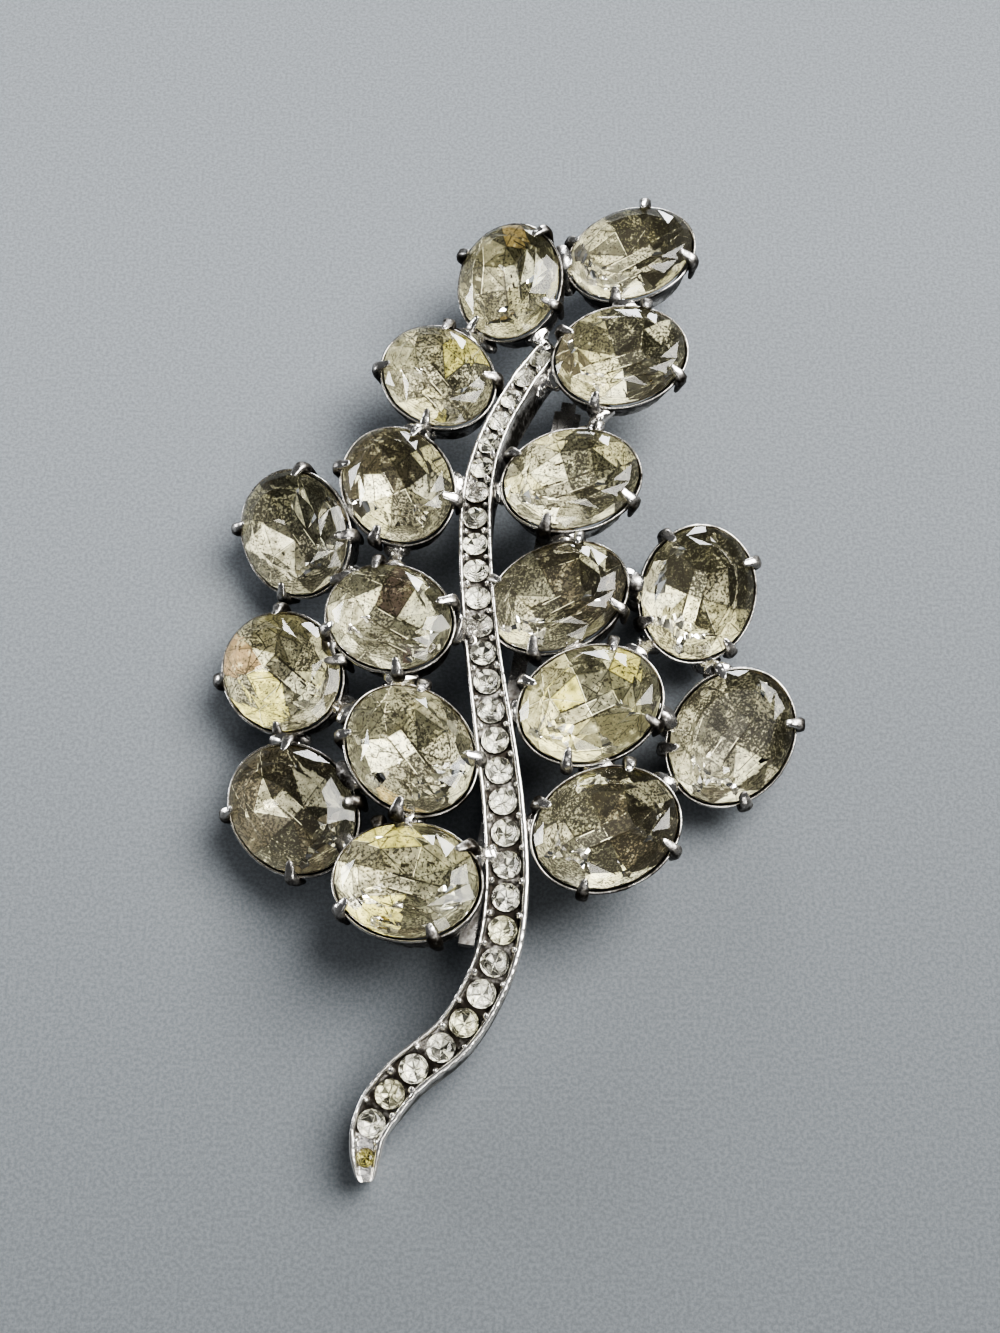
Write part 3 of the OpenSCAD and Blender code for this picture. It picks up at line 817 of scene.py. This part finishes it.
def make_rounds():
    """The stem's round stones in one piece, and their foils in another."""
    across, along, up = stem_axes(round_places)
    seats = stem_at(round_places)
    rng = np.random.default_rng(8)
    stones, foils, paints = [], [], []
    for k, d in enumerate(round_size(round_places)):
        axes = np.stack([along[k], across[k], up[k]])
        spin = rng.uniform(0, 1)
        cut = [oval(8, spin, 0.12 * d, 0.12 * d, -0.9), oval(8, spin + 0.5, 0.65 * d, 0.65 * d, -0.45),
               oval(16, 2 * spin, d, d, 0.04), oval(16, 2 * spin, d, d, 0.18),
               oval(8, spin + 0.5, 0.8 * d, 0.8 * d, 0.45), oval(8, spin, 0.55 * d, 0.55 * d, 0.6)]
        points, faces = facet_solid(cut)
        stones.append((points @ axes + seats[k], faces))
        cut = [oval(8, spin, 0.1 * d, 0.1 * d, -0.85), oval(8, spin + 0.5, 0.63 * d, 0.63 * d, -0.42),
               oval(16, 2 * spin, 0.98 * d, 0.98 * d, 0.08)]
        points, faces = open_dish(cut)
        # Painted reflections: each facet dark or bright by a seeded tone
        facets = np.array(round_tint(k)) * rng.choice(ROUND_TONES, (len(faces), 1))
        colours = np.column_stack([facets, np.full(len(faces), 0.05)])
        points, faces, colours = bordered(points, faces, colours, 200 + k, 0.06)
        foils.append((points @ axes + seats[k], faces))
        paints.append(colours)
    return facet_mesh("round_glass", stones), facet_mesh("round_foils", foils, paints)


# Materials

# The metal's tarnish and painted shade, the foil's darker and brighter clouds, what shows where it has
# flaked, and its back
TARNISH_AND_SHADE = (0.028, 0.023, 0.018)
FOIL_SHADE = (0.08, 0.075, 0.045)
FOIL_GLEAM = (0.95, 0.92, 0.65)
BARE = (0.018, 0.015, 0.009)
LACQUER = (0.3, 0.24, 0.13)
# The paper's two tones, and the painted shade that they are multiplied by towards the front
PAPER_DARK = (0.172, 0.187, 0.204)
PAPER_LIGHT = (0.236, 0.254, 0.275)
PAPER_FRONT_SHADE = (0.56, 0.57, 0.57)


class Nodes:
    """A node tree with short calls for the nodes that the finishes use."""

    def __init__(self, tree):
        self.tree = tree

    def add(self, kind, **settings):
        """A new node with its settings."""
        node = self.tree.nodes.new(kind)
        for key, value in settings.items():
            setattr(node, key, value)
        return node

    def set(self, socket, value):
        """A link where the value is a socket, and a plain value otherwise."""
        if isinstance(value, bpy.types.NodeSocket):
            self.tree.links.new(value, socket)
        else:
            socket.default_value = value

    def coords(self):
        """Object coordinates, in metres."""
        return self.add("ShaderNodeTexCoord").outputs["Object"]

    def attribute(self, name, output="Fac"):
        """A value or colour that the mesh carries under a name."""
        return self.add("ShaderNodeAttribute", attribute_name=name).outputs[output]

    def noise(self, vector, scale, detail=3, rough=0.55):
        """Cloudy noise, about 0.5 in the middle."""
        node = self.add("ShaderNodeTexNoise")
        self.set(node.inputs["Vector"], vector)
        self.set(node.inputs["Scale"], scale)
        self.set(node.inputs["Detail"], detail)
        self.set(node.inputs["Roughness"], rough)
        return node.outputs["Fac"]

    def cells(self, vector, scale, feature="F1"):
        """Distance from the middles or the borders of scattered cells."""
        node = self.add("ShaderNodeTexVoronoi", feature=feature)
        self.set(node.inputs["Vector"], vector)
        self.set(node.inputs["Scale"], scale)
        return node.outputs["Distance"]

    def math(self, operation, a, b=0.0):
        """Two values worked together."""
        node = self.add("ShaderNodeMath", operation=operation)
        self.set(node.inputs[0], a)
        self.set(node.inputs[1], b)
        return node.outputs[0]

    def fit(self, value, low, high, new_low=0.0, new_high=1.0):
        """A value brought from one range to another, smoothly and kept inside it."""
        node = self.add("ShaderNodeMapRange", interpolation_type="SMOOTHSTEP")
        for socket, number in zip(node.inputs, (value, low, high, new_low, new_high)):
            self.set(socket, number)
        return node.outputs[0]

    def mix(self, factor, a, b, blend="MIX"):
        """Two colours mixed, each a socket or a tuple of red, green and blue."""
        node = self.add("ShaderNodeMix", data_type="RGBA", blend_type=blend)
        self.set(node.inputs[0], factor)
        for socket, colour in ((node.inputs[6], a), (node.inputs[7], b)):
            self.set(socket, (*colour, 1) if isinstance(colour, tuple) else colour)
        return node.outputs[2]

    def bump(self, height, strength, distance):
        """A normal that follows a height, with the relief's depth in metres."""
        node = self.add("ShaderNodeBump")
        self.set(node.inputs["Height"], height)
        self.set(node.inputs["Strength"], strength)
        self.set(node.inputs["Distance"], distance)
        return node.outputs["Normal"]


def effect(name, inputs, outputs):
    """A shader node group with named inputs and outputs: its nodes, and the sockets inside it."""
    tree = bpy.data.node_groups.new(name, "ShaderNodeTree")
    for side, sockets in (("INPUT", inputs), ("OUTPUT", outputs)):
        for label, kind in sockets.items():
            tree.interface.new_socket(label, in_out=side, socket_type="NodeSocket" + kind)
    nodes = Nodes(tree)
    return nodes, nodes.add("NodeGroupInput").outputs, nodes.add("NodeGroupOutput").inputs


def tarnish_and_shade_effect():
    """Darkness of the metal: tarnish in recesses and painted shade, both from the per-point value, and
    tarnish in cloudy patches over worn plating, with a fine grain.
    """
    nodes, given, out = effect(
        "tarnish_and_shade_group", {"Recess": "Float", "Amount": "Float"}, {"Dark": "Float", "Grain": "Float"},
    )
    place = nodes.coords()
    clouds = nodes.math("MULTIPLY", nodes.math("SUBTRACT", nodes.noise(place, 300, 4), 0.5), 1.6)
    spots = nodes.math("MULTIPLY", nodes.math("SUBTRACT", nodes.noise(place, 1800, 4, 0.65), 0.5), 1.3)
    dark = nodes.math("ADD", nodes.math("MULTIPLY", given["Recess"], 0.9), nodes.math("ADD", clouds, spots))
    nodes.set(out["Dark"], nodes.fit(nodes.math("ADD", dark, given["Amount"]), 0.05, 0.95))
    pits = nodes.math("MULTIPLY", nodes.fit(nodes.cells(place, 2600), 0.05, 0.5), 0.5)
    nodes.set(out["Grain"], nodes.math("ADD", nodes.noise(place, 5200, 5, 0.7), pits))
    return nodes.tree


def speckle_effect():
    """Dark specks where the foil's silvering has flaked, denser with more wear, and clouds and fine cracks.

    Cracks run along the borders of scattered cells, where a second noise lets them show.
    """
    nodes, given, out = effect(
        "flaked silvering", {"Wear": "Float"}, {"Specks": "Float", "Clouds": "Float", "Cracks": "Float"},
    )
    place = nodes.coords()
    grains = nodes.noise(place, 4300, 4, 0.7)
    patches = nodes.noise(place, 500, 3)
    worn = nodes.math("ADD", given["Wear"], nodes.math("MULTIPLY", nodes.math("SUBTRACT", patches, 0.5), 1.4))
    edge = nodes.math("SUBTRACT", 0.615, nodes.math("MULTIPLY", worn, 0.2))
    nodes.set(out["Specks"], nodes.fit(nodes.math("SUBTRACT", grains, edge), -0.02, 0.03))
    nodes.set(out["Clouds"], nodes.noise(place, 1100, 5, 0.65))
    lines = nodes.fit(nodes.cells(place, 330, "DISTANCE_TO_EDGE"), 0.004, 0.02, 1, 0)
    nodes.set(out["Cracks"], nodes.math("MULTIPLY", lines, nodes.fit(nodes.noise(place, 260, 2), 0.5, 0.56)))
    return nodes.tree


def use(nodes, tree, **inputs):
    """One of the effects placed in a material, with its own values."""
    node = nodes.add("ShaderNodeGroup", node_tree=tree)
    for key, value in inputs.items():
        nodes.set(node.inputs[key], value)
    return node.outputs


def new_material(name):
    """A new material with its nodes, its Principled shader and the socket of its surface."""
    material = bpy.data.materials.new(name)
    material.use_nodes = True
    nodes = Nodes(material.node_tree)
    shader = material.node_tree.nodes["Principled BSDF"]
    surface = material.node_tree.nodes["Material Output"].inputs["Surface"]
    return material, nodes, shader, surface


def metal_finish(name, tarnish_and_shade_group, bright, dark, amount, smooth, matte):
    """Worn silver plating over a warmer base, partly matte, tarnished brown and rougher in its recesses, and
    darkened by painted shade where the per-point value says.
    """
    material, nodes, shader, _ = new_material(name)
    marks = use(nodes, tarnish_and_shade_group, Recess=nodes.attribute("tarnish_and_painted_shade"), Amount=amount)
    nodes.set(shader.inputs["Base Color"], nodes.mix(marks["Dark"], bright, dark))
    nodes.set(shader.inputs["Roughness"], nodes.fit(marks["Dark"], 0, 1, smooth, 0.45))
    nodes.set(shader.inputs["Metallic"], nodes.fit(marks["Dark"], 0.3, 1, 1 - matte, 0.85))
    nodes.set(shader.inputs["Normal"], nodes.bump(marks["Grain"], 0.3, 0.00005))
    return material


def foil_finish(name, speckle, rough, metallic, clouds):
    """Silvered foil: each facet's colour, which holds painted reflections as well as its own colour, flaked
    to dark specks, and golden brown lacquer on its back.
    """
    material, nodes, shader, _ = new_material(name)
    marks = use(nodes, speckle, Wear=nodes.attribute("wear"))
    # The facet colours carry painted reflections and highlights as well as the foil's own tint
    tint = nodes.attribute("tint", "Color")
    cloudy = nodes.mix(nodes.fit(marks["Clouds"], 0.42, 0.68, 0, 0.65 * clouds), tint, FOIL_SHADE)
    cloudy = nodes.mix(nodes.fit(marks["Clouds"], 0.33, 0.46, 0.45 * clouds, 0), cloudy, FOIL_GLEAM)
    worn = nodes.math("MAXIMUM", nodes.math("MULTIPLY", marks["Specks"], 0.92), marks["Cracks"])
    flaked = nodes.mix(worn, cloudy, BARE)
    back = nodes.add("ShaderNodeNewGeometry").outputs["Backfacing"]
    nodes.set(shader.inputs["Base Color"], nodes.mix(back, flaked, LACQUER))
    nodes.set(shader.inputs["Roughness"], nodes.fit(marks["Specks"], 0, 1, rough, 0.6))
    shader.inputs["Metallic"].default_value = metallic
    return material


def glass_finish(name, tint, rough):
    """Clear cut glass that lets lamp light through to its foil."""
    material, nodes, shader, surface = new_material(name)
    shader.inputs["Base Color"].default_value = (*tint, 1)
    shader.inputs["Roughness"].default_value = rough
    shader.inputs["IOR"].default_value = 1.5
    shader.inputs["Transmission Weight"].default_value = 1
    clear = nodes.add("ShaderNodeBsdfTransparent")
    clear.inputs["Color"].default_value = (*tint, 1)
    blend = nodes.add("ShaderNodeMixShader")
    nodes.set(blend.inputs[0], nodes.add("ShaderNodeLightPath").outputs["Is Shadow Ray"])
    nodes.set(blend.inputs[1], shader.outputs[0])
    nodes.set(blend.inputs[2], clear.outputs[0])
    nodes.set(surface, blend.outputs[0])
    return material


def paper_finish():
    """Plain matte paper with a faint mottle, darker to the front by painted shade."""
    material, nodes, shader, _ = new_material("paper")
    place = nodes.coords()
    grain = nodes.fit(nodes.noise(place, 3500, 3, 0.7), 0.36, 0.64)
    mottle = nodes.mix(grain, PAPER_DARK, PAPER_LIGHT)
    parts = nodes.add("ShaderNodeSeparateXYZ")
    nodes.set(parts.inputs[0], place)
    # Painted shade: the paper darkens towards the front
    front = nodes.fit(parts.outputs["Y"], -0.09, 0.05, 1, 0)
    nodes.set(shader.inputs["Base Color"], nodes.mix(front, mottle, PAPER_FRONT_SHADE, "MULTIPLY"))
    shader.inputs["Roughness"].default_value = 0.8
    nodes.set(shader.inputs["Normal"], nodes.bump(nodes.noise(place, 2200, 4), 0.35, 0.0001))
    return material


def dress(pieces, material):
    """Gives pieces a material."""
    for piece in pieces:
        piece.data.materials.clear()
        piece.data.materials.append(material)


cups, claws = make_cups()
links = make_links()
stem = make_stem()
pin = make_pin()
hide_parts("frame")
glasses, foils = make_ovals()
round_glass, round_foils = make_rounds()
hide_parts("stem_stones")

tarnish_and_shade_group = tarnish_and_shade_effect()
speckle = speckle_effect()
silver = metal_finish("worn silver", tarnish_and_shade_group, (0.7, 0.68, 0.65), TARNISH_AND_SHADE, 0.16, 0.13, 0.05)
dress([cups, claws, links], silver)
stem_silver = metal_finish("worn stem", tarnish_and_shade_group, (0.76, 0.74, 0.71), TARNISH_AND_SHADE, 0.1, 0.17, 0.1)
dress([stem], stem_silver)
steel = metal_finish("pin steel", tarnish_and_shade_group, (0.66, 0.65, 0.63), (0.12, 0.1, 0.08), 0.35, 0.25, 0.2)
dress([pin], steel)
dress(glasses, glass_finish("oval glass", (0.98, 0.97, 0.91), 0.015))
dress([foils], foil_finish("oval foil", speckle, 0.3, 0.3, 1))
dress([round_glass], glass_finish("round glass", (0.98, 0.975, 0.95), 0.01))
dress([round_foils], foil_finish("round foil", speckle, 0.16, 0.1, 0.2))


# Floor, light and camera

# Half the side of the floor, in metres
FLOOR_HALF = 2
WARM_LIGHT = (1, 0.99, 0.96)
COOL_LIGHT = (0.95, 0.97, 1)
WHITE_LIGHT = (1, 1, 1)
# The camera's place in the table frame, its turn up from straight down, and its lens and frame width
CAMERA_PLACE = (0, -73.21, 158.1)
CAMERA_TILT = 26
CAMERA_LENS = 72
CAMERA_WIDTH = 36


def add_lamp(name, kind, azimuth, elevation, distance, power, colour):
    """A lamp that faces the brooch. Azimuth runs from +Y towards +X."""
    lamp = bpy.data.lights.new(name, kind)
    lamp.energy = power
    lamp.color = colour
    holder = new_object(name, lamp)
    a, e = math.radians(azimuth), math.radians(elevation)
    holder.location = (
        distance * math.sin(a) * math.cos(e),
        distance * math.cos(a) * math.cos(e),
        distance * math.sin(e),
    )
    holder.rotation_euler = (math.pi / 2 - e, 0, math.pi - a)
    return lamp


floor_mesh = bpy.data.meshes.new("floor")
corners = [(x * FLOOR_HALF, y * FLOOR_HALF, 0) for x, y in ((-1, -1), (1, -1), (1, 1), (-1, 1))]
floor_mesh.from_pydata(corners, [], [(0, 1, 2, 3)])
floor = new_object("floor", floor_mesh)
floor_mesh.materials.append(paper_finish())

# A wide soft sun stands for the window, so that the floor is as bright far off as it is near
add_lamp("window", "SUN", 64, 53, 1, 5.3, WARM_LIGHT).angle = math.radians(48)
add_lamp("far window", "AREA", 5, 12, 0.7, 2.6, COOL_LIGHT).size = 0.22
add_lamp("side window", "AREA", -75, 12, 0.5, 0.9, COOL_LIGHT).size = 0.14
add_lamp("front glow", "AREA", 165, 45, 0.7, 0.9, WARM_LIGHT).size = 0.2
add_lamp("ceiling", "AREA", 180, 82, 0.6, 0.3, WHITE_LIGHT).size = 0.3

# The room is a soft glow, darker overhead
world = bpy.data.worlds.new("room")
bpy.context.scene.world = world
world.use_nodes = True
room = Nodes(world.node_tree)
heights = room.add("ShaderNodeSeparateXYZ")
room.set(heights.inputs[0], room.add("ShaderNodeTexCoord").outputs["Generated"])
sky = room.mix(room.fit(heights.outputs["Z"], 0, 0.5), (0.2, 0.206, 0.216), (0.09, 0.093, 0.098))
room.set(world.node_tree.nodes["Background"].inputs["Color"], sky)

lens = bpy.data.cameras.new("camera")
lens.sensor_fit = "HORIZONTAL"
lens.sensor_width = CAMERA_WIDTH
lens.lens = CAMERA_LENS
lens.clip_start = 0.01
camera = new_object("camera", lens)
camera.location = metal_point(CAMERA_PLACE)
camera.rotation_euler = (math.radians(CAMERA_TILT), 0, 0)
bpy.context.scene.camera = camera
bpy.context.scene.view_settings.look = "AgX - High Contrast"
